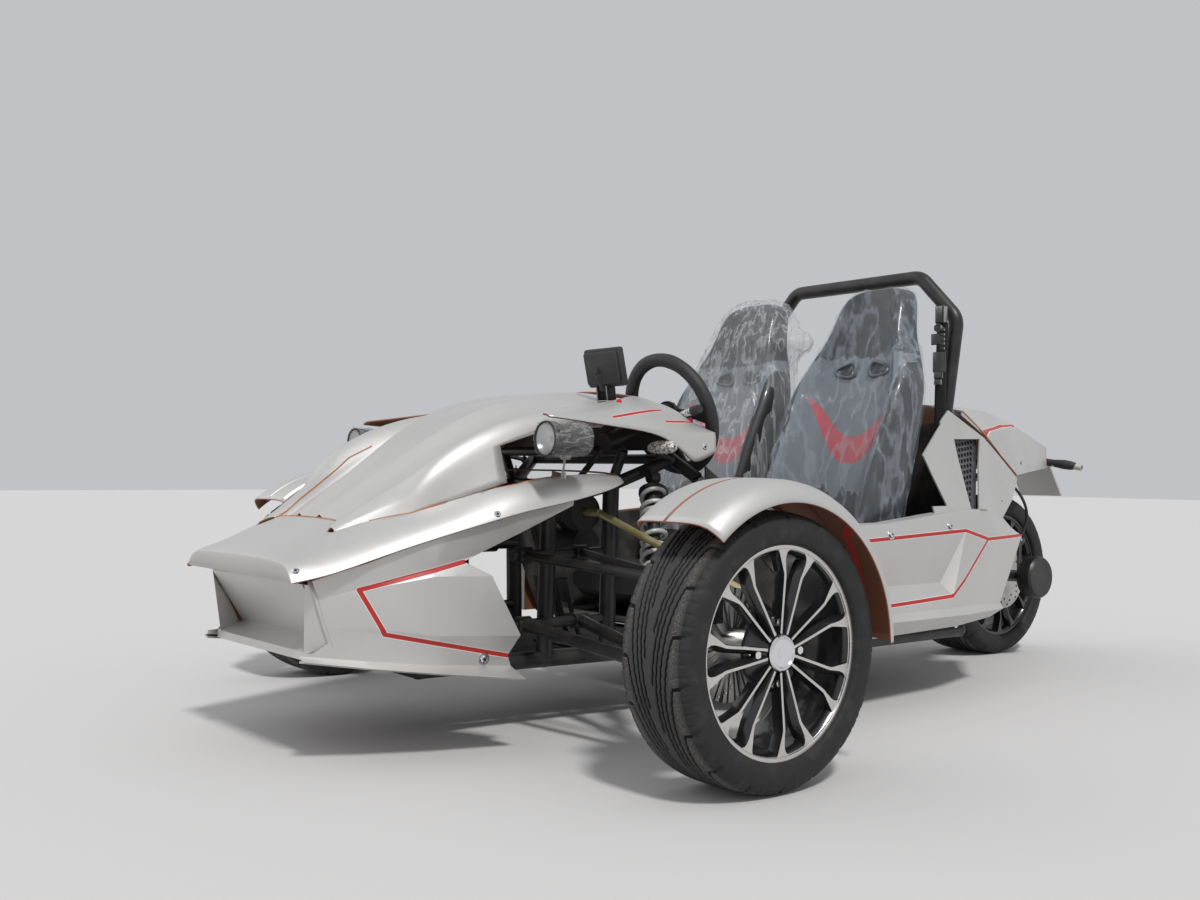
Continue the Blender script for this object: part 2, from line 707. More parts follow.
# A tyre as one grid: its columns run round the contour, its rows round the wheel.
def tyre_form(width, axle):
    half = width / 2
    flank = [(14, 213), (7, 216), (4, 219), (3, 222), (1, 228), (0, 238), (0.5, 250), (3, 260), (8, 268), (14, 273.4)]
    tread = [-half + 18 + i * (width - 36) / tread_columns for i in range(tread_columns + 1)]
    contour = [(-half + inset, radius) for inset, radius in flank]
    contour += [(x, axle_z - crown_drop * abs(x / (half - 18)) ** 4) for x in tread]
    contour += [(half - inset, radius) for inset, radius in reversed(flank)]
    contour += [(half - 22, 214), (half - 18, 238), (half - 30, 262), (0, 268), (-half + 30, 262), (-half + 18, 238)]
    contour += [(-half + 22, 214), contour[0]]
    first = len(flank)
    columns = len(contour) - 1
    bm = bmesh.new()
    bmesh.ops.create_grid(bm, x_segments=columns, y_segments=tread_rows, size=0.5)
    for vert, (column, row) in cells_of(bm, columns, tread_rows).items():
        row %= tread_rows
        x, radius = contour[column]
        if first - 3 <= column < first + len(tread) + 3:
            radius -= groove_at(x * nominal_half / half, row / pitch_rows)
        angle = math.tau * row / tread_rows
        vert.co = axle + Vector((x, -radius * math.sin(angle), radius * math.cos(angle))) / 1000
    bmesh.ops.remove_doubles(bm, verts=bm.verts, dist=0.00005)
    outwards(bm)
    return bm


wheels = [
    ("front_left", 196, place(wheel_x, 0, axle_z), "wheel_left"),
    ("front_right", 196, place(wheel_x, 0, axle_z), "wheel_right"),
    ("rear", 226, place(0, rear_axle_back, axle_z), "wheel_rear"),
]
for name, width, axle, body in wheels:
    rubber_form = tyre_form(width, axle)
    if name == "front_right":
        mirrored_form(rubber_form)
    fitted(rubber_form, "tread_" + name, body, [rubber.material], ["tyre_" + name], sharp=50)

# Rims: cast alloy in gloss black. Fourteen spokes in seven pairs run from the hub,
# kink, and fork into the lip; their outermost faces are turned bright at the front.
rim_black = Finish("rim_black", (0.012, 0.012, 0.013), Roughness=0.22, Coat_Weight=0.5, Coat_Roughness=0.08)
rim_black.coarse(0.16, 0.14, 30.0)
rim_black.bump(rim_black.noise(110.0, 3.0), 0.0002)
turned_face = Finish("rim_turned", (0.7, 0.69, 0.67), Metallic=1.0, Roughness=0.28)
turned_face.set(Base_Color=turned_face.mix(turned_face.noise(40.0, 4.0), (0.62, 0.60, 0.57), (0.78, 0.77, 0.75)))
turned_face.coarse(0.2, 0.2, 300.0)
chrome = Finish("chrome", (0.8, 0.8, 0.82), Metallic=1.0, Roughness=0.1)
chrome.coarse(0.06, 0.16, 22.0)
first_pair, pair_step = 38.57, 51.43
spoke_rows = [
    # distance from the hub's centre, tangential place of the bright face's two edges
    (38, 6.0, 11.5), (60, 9.3, 14.6), (100, 14.6, 20.0), (140, 19.4, 25.3), (153, 21.2, 27.6),
    (163, 24.6, 33.0), (180, 29.4, 43.5), (191, 30.2, 50.0), (198, 28.0, 57.0), (203, 22.0, 67.0), (206, 17.0, 73.0),
]


# Fills the open ends of a form and turns its faces outwards.
def closed(bm):
    bmesh.ops.holes_fill(bm, edges=[edge for edge in bm.edges if edge.is_boundary], sides=0)
    outwards(bm)


# Adds a ring: a closed profile of (place along x, radius), turned once round x.
def spin_profile(bm, profile, steps=112):
    ring = [bm.verts.new(Vector((x, 0, radius)) / 1000) for x, radius in profile]
    line = [bm.edges.new(pair) for pair in zip(ring, ring[1:] + ring[:1])]
    bmesh.ops.spin(
        bm, geom=ring + line, cent=(0, 0, 0), axis=(1, 0, 0), dvec=(0, 0, 0), angle=math.tau, steps=steps,
        use_merge=True,
    )


# One spoke, whose edge next to its pair and far edge follow the rows above.
def spoke_form(face_x, hand):
    # cross-section from the bright face's pair side round the back: sideways offset, depth
    section = [(0, 0), (1, 0), (1.25, -5), (1.3, -26), (-1.3, -26), (-1.25, -13), (0, 0)]
    columns, rows = len(section) - 1, len(spoke_rows) - 1
    shape = bmesh.new()
    bmesh.ops.create_grid(shape, x_segments=columns, y_segments=rows, size=0.5)
    for vert, (column, row) in cells_of(shape, columns, rows).items():
        radius, near, far = spoke_rows[row]
        kind, depth = section[column]
        if column in (0, columns):
            side_place = near
        elif column == 1:
            side_place = far
        elif kind > 0:
            side_place = far + kind * 1.2
        else:
            side_place = near + kind * (7.5 if radius < 190 else 4.0)
        side_place = max(side_place, 0.3)
        vert.co = Vector((face_x + depth, hand * side_place, radius)) / 1000
    bmesh.ops.remove_doubles(shape, verts=shape.verts, dist=0.00002)
    closed(shape)
    for face in shape.faces:
        face.material_index = int(abs(face.normal.x) > 0.98 and face.calc_center_median().x > (face_x - 1) / 1000)
    return shape


# A rim: the barrel with its lip, the hub's dish, and the fourteen spokes.
def rim_form(width, axle):
    half = width / 2 - 14
    face_x = half - 4
    bm = bmesh.new()
    spin_profile(bm, [
        (-half, 213), (-half, 204), (-half + 8, 199), (-half + 22, 195), (half - 24, 195), (half - 12, 198),
        (half - 5, 203.5), (half - 4, 204.5), (half - 1.5, 205), (half, 207), (half, 213), (half - 2, 213.8),
        (half - 9, 213.8), (half - 10, 210), (half - 26, 201), (-half + 24, 201), (-half + 8, 209), (-half + 8, 213),
    ])
    for face in bm.faces:
        spot = face.calc_center_median()
        away = math.hypot(spot.y, spot.z) * 1000
        face.material_index = int(spot.x * 1000 > half - 5 and 203.4 < away < 213.5)
    # hub dish
    spin_profile(bm, [
        (face_x - 34, 20), (face_x - 34, 80), (face_x - 26, 80), (face_x - 20, 74), (face_x - 16, 50),
        (face_x - 9, 40), (face_x - 6, 36), (face_x - 6, 20),
    ], steps=64)
    for hand in (1, -1):
        spoke = spoke_form(face_x, hand)
        spoke_mesh = bpy.data.meshes.new("spoke")
        spoke.to_mesh(spoke_mesh)
        spoke.free()
        for pair in range(7):
            before = set(bm.verts)
            bm.from_mesh(spoke_mesh)
            added = [vert for vert in bm.verts if vert not in before]
            turn = Matrix.Rotation(math.radians(first_pair + pair_step * pair), 3, "X")
            bmesh.ops.rotate(bm, cent=(0, 0, 0), matrix=turn, verts=added)
        bpy.data.meshes.remove(spoke_mesh)
    bmesh.ops.translate(bm, vec=axle, verts=bm.verts)
    return bm


# The bare cap on the hub, with four lug bolts round it.
def cap_form(width, axle):
    face_x = width / 2 - 18
    bm = bmesh.new()
    spin_profile(bm, [
        (face_x - 8, 35), (face_x + 2, 36), (face_x + 5, 34), (face_x + 6, 30), (face_x + 3.5, 27.5),
        (face_x + 3.5, 2), (face_x - 8, 2),
    ], steps=64)
    along_axle = Matrix.Rotation(math.pi / 2, 4, "Y")
    plate = Matrix.Translation(Vector((face_x + 3.7, 0, 0)) / 1000) @ along_axle
    bmesh.ops.create_circle(bm, cap_ends=True, segments=48, radius=0.012, matrix=plate)
    for bolt in range(4):
        turn = Matrix.Rotation(math.pi / 2 * bolt, 4, "X")
        spot = turn @ (Vector((face_x - 12, 0, 60.5)) / 1000)
        for segments, foot, head, depth, back in ((6, 0.0098, 0.0085, 0.016, 0), (24, 0.012, 0.011, 0.004, 0.009)):
            bmesh.ops.create_cone(
                bm, cap_ends=True, segments=segments, radius1=foot, radius2=head, depth=depth,
                matrix=Matrix.Translation(spot - Vector((back, 0, 0))) @ turn @ along_axle,
            )
    bmesh.ops.translate(bm, vec=axle, verts=bm.verts)
    return bm


for name, width, axle, body in wheels:
    rim_faces = rim_black if name == "rear" else turned_face
    for kind, form, finishes, stands_for in (
        ("spokes_", rim_form(width, axle), [rim_black.material, rim_faces.material], ["rim_" + name]),
        ("cap_", cap_form(width, axle), [chrome.material], []),
    ):
        if name == "front_right":
            mirrored_form(form)
        fitted(form, kind + name, body, finishes, stands_for, sharp=30)

# Finishes for the parts that the frame's own shapes show: each node keeps its
# form and gets the surface of its material. Tube is painted steel with a rough
# coat, sheet and brackets are grained plastic, and castings are coarse.
def plain_finish(name, tones, roughness, spread, grain, depth, **constants):
    made = Finish(name, tones[0], **constants)
    made.set(Base_Color=made.mix(made.noise(14.0, 4.0).between(0.35, 0.7), *tones))
    made.coarse(roughness, spread, grain * 0.4)
    made.bump(made.noise(grain, 3.0), depth)
    return made.material


tube_paint = plain_finish(
    "tube_paint", [(0.013, 0.013, 0.014), (0.03, 0.028, 0.026)],
    0.3, 0.2, 300.0, 0.0003,
)
grained_black = plain_finish(
    "grained_black", [(0.018, 0.018, 0.019), (0.035, 0.034, 0.033)],
    0.5, 0.2, 700.0, 0.0003,
)
floor_black = plain_finish("floor_black", [(0.02, 0.02, 0.02), (0.07, 0.062, 0.052)], 0.7, 0.2, 120.0, 0.0006)
cast_black = plain_finish("cast_black", [(0.02, 0.02, 0.022), (0.05, 0.048, 0.046)], 0.5, 0.2, 380.0, 0.0006)
cast_alloy = plain_finish(
    "cast_alloy", [(0.34, 0.34, 0.34), (0.5, 0.49, 0.48)],
    0.4, 0.25, 420.0, 0.0006, Metallic=0.8,
)
steel = plain_finish("steel", [(0.42, 0.41, 0.4), (0.58, 0.57, 0.55)], 0.28, 0.2, 260.0, 0.0001, Metallic=1.0)
spring_grey = plain_finish(
    "spring_grey", [(0.42, 0.42, 0.42), (0.56, 0.55, 0.54)],
    0.35, 0.2, 200.0, 0.0002, Metallic=0.3,
)
yellow_zinc = plain_finish(
    "yellow_zinc", [(0.62, 0.54, 0.24), (0.78, 0.74, 0.46)],
    0.28, 0.2, 90.0, 0.0001, Metallic=0.75,
)
mesh_grey = plain_finish("mesh_grey", [(0.06, 0.06, 0.065), (0.1, 0.1, 0.105)], 0.35, 0.2, 300.0, 0.0002)
hose_black = plain_finish("hose_black", [(0.02, 0.02, 0.02), (0.04, 0.04, 0.04)], 0.5, 0.2, 500.0, 0.0002)
silver_flap = silver_paint("silver_flap")


# Gives frame nodes that keep their own form a finish.
def dressed(finish, *nodes):
    for node in nodes:
        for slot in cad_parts[node].material_slots:
            slot.material = finish


dressed(tube_paint, "frame_lower", "frame_posts", "frame_upper", "frame_rear", "roll_bar", "pedals")
dressed(tube_paint, "suspension_arms", "steering_column", "swingarm")
dressed(grained_black, "dash", "steering_rack")
dressed(mesh_grey, "grilles")
dressed(floor_black, "floor_pan", "cockpit_tub")
dressed(cast_black, "knuckle_left", "knuckle_right", "silencer")
dressed(yellow_zinc, "tie_rods")
dressed(steel, "chain")


# Cuts one form out of another.
def drilled(bm, drills):
    mesh = bpy.data.meshes.new("drills")
    outwards(drills)
    drills.to_mesh(mesh)
    drills.free()
    cutter = linked("drills", mesh)
    made = worked(bm, ("BOOLEAN", {"operation": "DIFFERENCE", "solver": "EXACT", "object": cutter}))
    bpy.data.objects.remove(cutter)
    bpy.data.meshes.remove(mesh)
    return made


# Adds a block with rounded edges, whose axes are turned by the given matrix.
def add_block(bm, middle, size, turn=None, rounding=0.002, slot=0):
    matrix = Matrix.Translation(middle) @ (turn or Matrix()) @ Matrix.Diagonal((*[s / 1000 for s in size], 1))
    verts = bmesh.ops.create_cube(bm, size=1, matrix=matrix)["verts"]
    edges = list({edge for vert in verts for edge in vert.link_edges})
    made = bmesh.ops.bevel(bm, geom=edges, offset=rounding, segments=2, profile=0.5, affect="EDGES")
    for face in made["faces"]:
        face.material_index = slot
    for vert in verts:
        if vert.is_valid:
            for face in vert.link_faces:
                face.material_index = slot


# Stands a form up whose stations are heights.
def upright(bm):
    for vert in bm.verts:
        vert.co = Vector((vert.co.x, vert.co.z + front_axle_y / 1000, vert.co.y - front_axle_y / 1000))
    return bm


# A closed form drawn as flat levels: each (height, half outline of (x, y) points
# from the middle of the front round to the middle of the back).
def levelled(stations, smooth=2):
    bm = upright(drawn_skin(stations, smooth=smooth))
    bmesh.ops.remove_doubles(bm, verts=bm.verts, dist=0.0001)
    closed(bm)
    return bm


# Joins rings of vertices, each to the next, and fills the first and last if asked.
def bridged(bm, rings, slot=0, capped=True):
    for first, second in zip(rings, rings[1:]):
        for k in range(len(first)):
            following = (k + 1) % len(first)
            face = bm.faces.new([first[k], first[following], second[following], second[k]])
            face.material_index = slot
    if capped:
        for ring in (rings[0], rings[-1]):
            bm.faces.new(ring).material_index = slot


# Seats: a moulded back with high side wings under black and grey cover, with a
# red crescent and two slots for a harness, and a padded cushion.
seat_x = 258
seat_levels = [
    # height, middle of the back, half width, how far the wings stand forward
    (216, 1000, 150, 120), (225, 1002, 160, 124), (330, 1020, 188, 150), (420, 1040, 198, 160), (520, 1060, 206, 165),
    (620, 1082, 211, 155), (720, 1105, 214, 140), (800, 1125, 214, 122), (870, 1143, 212, 107), (905, 1153, 204, 96),
    (945, 1165, 188, 86), (985, 1176, 172, 78), (1030, 1190, 146, 70), (1080, 1204, 132, 64), (1130, 1218, 124, 56),
    (1165, 1227, 112, 46), (1184, 1233, 92, 34), (1192, 1236, 62, 22),
]
seat_ring = [
    # share of the half width, share of the reach forward, fixed distance back
    (0, 0, -22), (0.34, 0, -22), (0.58, 0.06, -24), (0.7, 0.42, -16), (0.79, 0.84, -6), (0.87, 1.0, 0),
    (0.95, 0.96, 4), (1.0, 0.74, 6), (1.0, 0.3, 10), (0.97, 0, 24), (0.86, 0, 42), (0.5, 0, 44), (0, 0, 44),
]
seat_shell = [
    (z, [(half * across, y - reach * forward + back) for across, forward, back in seat_ring])
    for z, y, half, reach in seat_levels
]
harness_slots = [(-100, 936), (-38, 925), (-29, 940), (-36, 963), (-52, 962), (-98, 948)]
seat_cover = Finish("seat_cover", Roughness=0.45, Coat_Weight=0.35, Coat_Roughness=0.12)
cover_x, _, cover_z = seat_cover.axes()
cover_aside = abs(abs(cover_x) - seat_x / 1000)
ragged = 0.05 * (seat_cover.noise(1.0, 3.0, seat_cover.stretched(60, 10, 9)) - 0.5)
low_ragged = 0.16 * (seat_cover.noise(1.0, 2.0, seat_cover.stretched(30, 6, 5)) - 0.5)
crescent_low = 0.664 + 0.093 * (cover_aside / 0.11).math("POWER", 2.2)
crescent_half = 0.158
crescent_high = crescent_low + 0.08 - 0.08 * (cover_aside / crescent_half).math("POWER", 4.0)
is_grey = (cover_aside + ragged < 0.18) * (cover_z + ragged < 0.985) * (cover_z + low_ragged > 0.585)
is_red = (cover_z > crescent_low) * (cover_z < crescent_high) * (cover_aside < crescent_half)
cover_color = seat_cover.mix(is_grey, (0.018, 0.018, 0.02), (0.155, 0.175, 0.2))
cover_color = seat_cover.mix(is_red, cover_color, (0.5, 0.05, 0.07))
seat_cover.set(Base_Color=cover_color)
seat_cover.coarse(0.36, 0.2, 60.0)
seat_cover.bump(seat_cover.noise(900.0, 2.0), 0.0002)
seat_cover.bump(seat_cover.noise(9.0, 3.0), 0.004, 0.4)
slot_trim = plain_finish("slot_trim", [(0.1, 0.115, 0.13), (0.13, 0.145, 0.16)], 0.4, 0.15, 500.0, 0.0002)

cushion_stations = [
    (594, [(0, 320), (120, 322), (150, 326), (180, 322), (190, 306), (186, 282), (150, 268), (0, 266)]),
    (612, [(0, 346), (110, 348), (146, 358), (182, 350), (196, 322), (192, 262), (160, 246), (0, 244)]),
    (650, [(0, 356), (100, 357), (140, 368), (186, 366), (204, 334), (200, 240), (170, 226), (0, 226)]),
    (760, [(0, 350), (96, 350), (138, 360), (184, 360), (204, 330), (200, 238), (170, 224), (0, 224)]),
    (900, [(0, 334), (96, 334), (136, 346), (178, 346), (196, 318), (194, 238), (168, 224), (0, 224)]),
    (985, [(0, 322), (96, 322), (132, 326), (168, 322), (186, 302), (186, 240), (164, 226), (0, 226)]),
    (998, [(0, 300), (90, 300), (130, 300), (160, 296), (176, 284), (176, 250), (156, 238), (0, 238)]),
]
for hand, side in sides:
    back = levelled(seat_shell)
    drills = bmesh.new()
    for mirror_x in (1, -1):
        front_ring = [drills.verts.new(place(mirror_x * x, 1060, z)) for x, z in harness_slots]
        face = drills.faces.new(front_ring)
        pushed = bmesh.ops.extrude_face_region(drills, geom=[face])["geom"]
        moved = [item for item in pushed if isinstance(item, bmesh.types.BMVert)]
        bmesh.ops.translate(drills, vec=(0, 0.2, 0), verts=moved)
    back = drilled(back, drills)
    bmesh.ops.translate(back, vec=(hand * seat_x / 1000, 0, 0), verts=back.verts)
    back = fitted(
        back, "seat_back_" + side, "chassis", [seat_cover.material], ["seat_" + side], sharp=50,
    )
    cushion = drawn_skin(cushion_stations)
    closed(cushion)
    bmesh.ops.translate(cushion, vec=(hand * seat_x / 1000, 0, 0), verts=cushion.verts)
    cushion = fitted(cushion, "seat_cushion_" + side, "chassis", [seat_cover.material])
    trims = bmesh.new()
    for mirror_x in (1, -1):
        middle = Vector((sum(x for x, z in harness_slots), 0, sum(z for x, z in harness_slots))) / len(harness_slots)
        rings = []
        for spread, depth in ((1.0, 1136), (1.06, 1131), (1.3, 1131), (1.42, 1138)):
            rings.append([
                trims.verts.new(place(
                    hand * seat_x + mirror_x * (middle.x + (x - middle.x) * spread), depth + (z - 945) * 0.28,
                    middle.z + (z - middle.z) * spread * (1.2 if spread > 1.1 else 1),
                ))
                for x, z in harness_slots
            ])
        bridged(trims, rings, capped=False)
    outwards(trims)
    face_out(trims, Vector((0, -1, 0)))
    trims = worked(trims, ("SUBSURF", {"levels": 2, "render_levels": 2}))
    fitted(trims, "harness_trim_" + side, "chassis", [slot_trim])
    runners = bmesh.new()
    for x in (hand * seat_x - 150, hand * seat_x + 150):
        add_block(runners, place(x, 830, 211.5), (24, 340, 23))
        add_rods(runners, [((x, y, 200), (x, y, 225), 0.008, 6) for y in (690, 970)])
    fitted(runners, "seat_runner_" + side, "chassis", [stay_paint.material])

# Clear film: the covers that the seats and lamps are still packed in. It shows
# only where its creases catch the light, so the creases make it less clear.
def film_finish(name, tone, least, most, stretch, scale):
    film = Finish(name, tone, Roughness=0.14, Specular_IOR_Level=0.6)
    crease = film.noise(scale, 4.0, film.stretched(*stretch))
    fine = film.noise(scale * 4, 3.0, film.stretched(*stretch))
    streak = abs(crease - 0.5).between(0.0, 0.07)
    glint = fine.between(0.56, 0.72)
    film.set(Alpha=least + most * (1.0 - streak) + 0.5 * most * glint)
    film.set(Roughness=0.1 + 0.25 * fine)
    film.bump(crease, 0.008, 0.8)
    film.bump(fine, 0.003, 0.6)
    return film.material


# Lifts a sheet off what it wraps and pushes it into crossing creases.
def creased(bm, lift, depth, stretch, seed=0.0):
    bm.normal_update()
    for vert in bm.verts:
        spot = Vector(a * b for a, b in zip(vert.co, stretch)) + Vector((seed, 0, 0))
        ridge = 1 - abs(noise.noise(spot)) * 3.2
        fine = 1 - abs(noise.noise(spot * 2.7)) * 3.2
        vert.co += vert.normal * (lift + depth * max(0, ridge) + depth * 0.4 * max(0, fine))


tight_film = film_finish("film_tight", (0.5, 0.56, 0.63), 0.09, 0.2, (1.0, 1.0, 0.4), 15.0)
loose_film = film_finish("film_loose", (0.66, 0.67, 0.69), 0.15, 0.24, (1.0, 1.0, 0.12), 24.0)
lamp_film = film_finish("film_lamp", (0.5, 0.5, 0.5), 0.18, 0.28, (1.0, 0.25, 1.0), 80.0)
wrap = levelled([station for station in seat_shell if station[0] > 300], smooth=3)
bmesh.ops.delete(wrap, geom=[face for face in wrap.faces if face.normal.z < -0.9], context="FACES")
creased(wrap, 0.0016, 0.005, (34, 34, 11))
bmesh.ops.translate(wrap, vec=(seat_x / 1000, 0, 0), verts=wrap.verts)
wrap = fitted(wrap, "seat_film_left", "chassis", [tight_film], sharp=60)

bag_levels = [
    # height, middle, reach to the middle of the car, reach to its side, front, back
    (1201, 1234, 40, 38, 20, 14), (1197, 1232, 96, 92, 44, 30), (1160, 1224, 142, 124, 66, 52),
    (1110, 1208, 172, 142, 82, 58), (1078, 1198, 216, 150, 86, 62), (1054, 1188, 268, 158, 92, 66),
    (1030, 1184, 236, 166, 94, 68), (996, 1178, 190, 178, 98, 70),
    (940, 1162, 196, 200, 108, 72), (860, 1140, 216, 222, 124, 70), (740, 1108, 228, 226, 156, 66),
    (620, 1080, 226, 224, 176, 62), (520, 1058, 222, 220, 184, 58), (452, 1044, 224, 222, 186, 58),
]
bag_angles = [math.tau * i / 28 for i in range(29)]
bag_shell = []
for z, y, inner, outer, front, rear in bag_levels:
    ring = []
    for angle in bag_angles:
        aside = math.cos(angle)
        along = math.sin(angle)
        square = (abs(aside) ** 3.2 + abs(along) ** 3.2) ** (-1 / 3.2)
        reach = inner if aside > 0 else outer
        depth = rear if along > 0 else front
        pleat = 1 + 0.035 * noise.noise(Vector((aside * 4, along * 4, z / 260)))
        ring.append((-seat_x + reach * aside * square * pleat, y + depth * along * square * pleat))
    bag_shell.append((z, ring))
bag = upright(drawn_skin(bag_shell, mirrored=False))
bmesh.ops.remove_doubles(bag, verts=bag.verts, dist=0.0002)
bmesh.ops.holes_fill(bag, edges=[e for e in bag.edges if e.is_boundary and e.verts[0].co.z > 1.1], sides=0)
outwards(bag)
creased(bag, 0.0, 0.01, (22, 22, 5), seed=4.0)
bag = fitted(bag, "seat_film_right", "chassis", [loose_film], sharp=60)

# Belts: flat webbing from the guide on each hoop leg down to its floor anchor,
# with a bright tongue, a slotted guide plate and a toothed clip beside it
webbing = Finish("webbing", (0.02, 0.02, 0.021), Roughness=0.7)
weave = webbing.node("ShaderNodeTexWave", {"bands_direction": "Z"}, webbing.spot, 260.0, 1.5)
webbing.set(Base_Color=webbing.mix(weave, (0.014, 0.014, 0.015), (0.035, 0.035, 0.037)))
webbing.bump(weave, 0.0005)
belt_x, belt_width = 372, 40
belt_foot, belt_rise = 640, 455
for hand, side in sides:
    strap = bmesh.new()
    bmesh.ops.create_grid(strap, x_segments=4, y_segments=60, size=0.5)
    for vert in strap.verts:
        share = vert.co.y + 0.5
        sway = 3 * math.sin(share * 7) * (1 - share)
        aside = hand * (belt_x + vert.co.x * belt_width)
        vert.co = place(aside, 1352 + 20 * share + sway, belt_foot + belt_rise * share)
    strap = fitted(strap, "belt_strap_" + side, "chassis", [webbing.material], ["seat_belts"] * (hand > 0))
    thick = strap.modifiers.new("thick", "SOLIDIFY")
    thick.thickness = 0.0018
    metal = bmesh.new()
    add_rods(metal, [
        ((belt_x, 1384, 1078), (belt_x, 1350, 1078), 0.009, 20),
        ((belt_x, 1354, 1078), (belt_x, 1346, 1078), 0.014, 6),
    ], hand)
    for (y, z), size, rounding, slot in (
        ((1366, 1120), (30, 26, 56), 0.004, 1), ((1348, 1044), (46, 5, 34), 0.002, 1),
        ((1355, 975), (44, 4, 62), 0.0015, 1), ((1350, 914), (26, 6, 16), 0.0015, 0),
        ((1353, 936), (30, 9, 26), 0.003, 1), ((1344, 681), (50, 8, 22), 0.002, 0),
    ):
        add_block(metal, place(hand * belt_x, y, z), size, rounding=rounding, slot=slot)
    for tooth in range(5):
        add_block(metal, place(hand * 395, 1340, 1014 + 14 * tooth), (14, 8, 8), rounding=0.0015, slot=1)
    fitted(metal, "belt_guide_" + side, "chassis", [steel, grained_black])

# Lamps: a bowl with a clear domed lens over a bright reflector, still wrapped in
# film whose tail is twisted shut, on two slotted silver plates
lens = Finish("lamp_lens", (0.72, 0.73, 0.74), Roughness=0.06, Alpha=0.22)
flutes = lens.node("ShaderNodeTexWave", {"bands_direction": "X"}, lens.spot, 40.0, 0.5)
lens.bump(flutes, 0.001, 0.5)
lens.bump(lens.noise(60.0, 4.0), 0.004, 0.7)
lens.coarse(0.04, 0.2, 30.0)
lamp_x, lamp_z = 440, 707
lamp_scale = 0.87
film_radius = 48.5
twist_from = 0.85

blinker_clear = Finish("blinker_clear", (0.7, 0.67, 0.63), Roughness=0.16, Coat_Weight=0.6, Coat_Roughness=0.05)
blinker_clear.set(Base_Color=blinker_clear.mix(
    blinker_clear.noise(150.0, 4.0).between(0.4, 0.62), (0.2, 0.19, 0.18), (0.84, 0.82, 0.8),
))
blinker_clear.bump(blinker_clear.noise(120.0, 4.0), 0.004)
blinker_clear = blinker_clear.material


# Turns a profile round the axis of a lamp.
def lamp_turned(profile, hand):
    bm = bmesh.new()
    spin_profile(bm, profile, steps=48)
    bmesh.ops.rotate(bm, cent=(0, 0, 0), matrix=Matrix.Rotation(-math.pi / 2, 3, "Z"), verts=bm.verts)
    bmesh.ops.scale(bm, vec=(lamp_scale, lamp_scale, lamp_scale), verts=bm.verts)
    bmesh.ops.translate(bm, vec=place(hand * lamp_x, -180, lamp_z), verts=bm.verts)
    outwards(bm)
    return bm


# Adds a flat strip from one place to another.
def add_plate(bm, start, end, width, thickness, slot=0):
    run = end - start
    turn = run.to_track_quat("Z", "Y").to_matrix().to_4x4()
    add_block(bm, (start + end) / 2, (thickness, width, run.length * 1000), turn, 0.0012, slot)


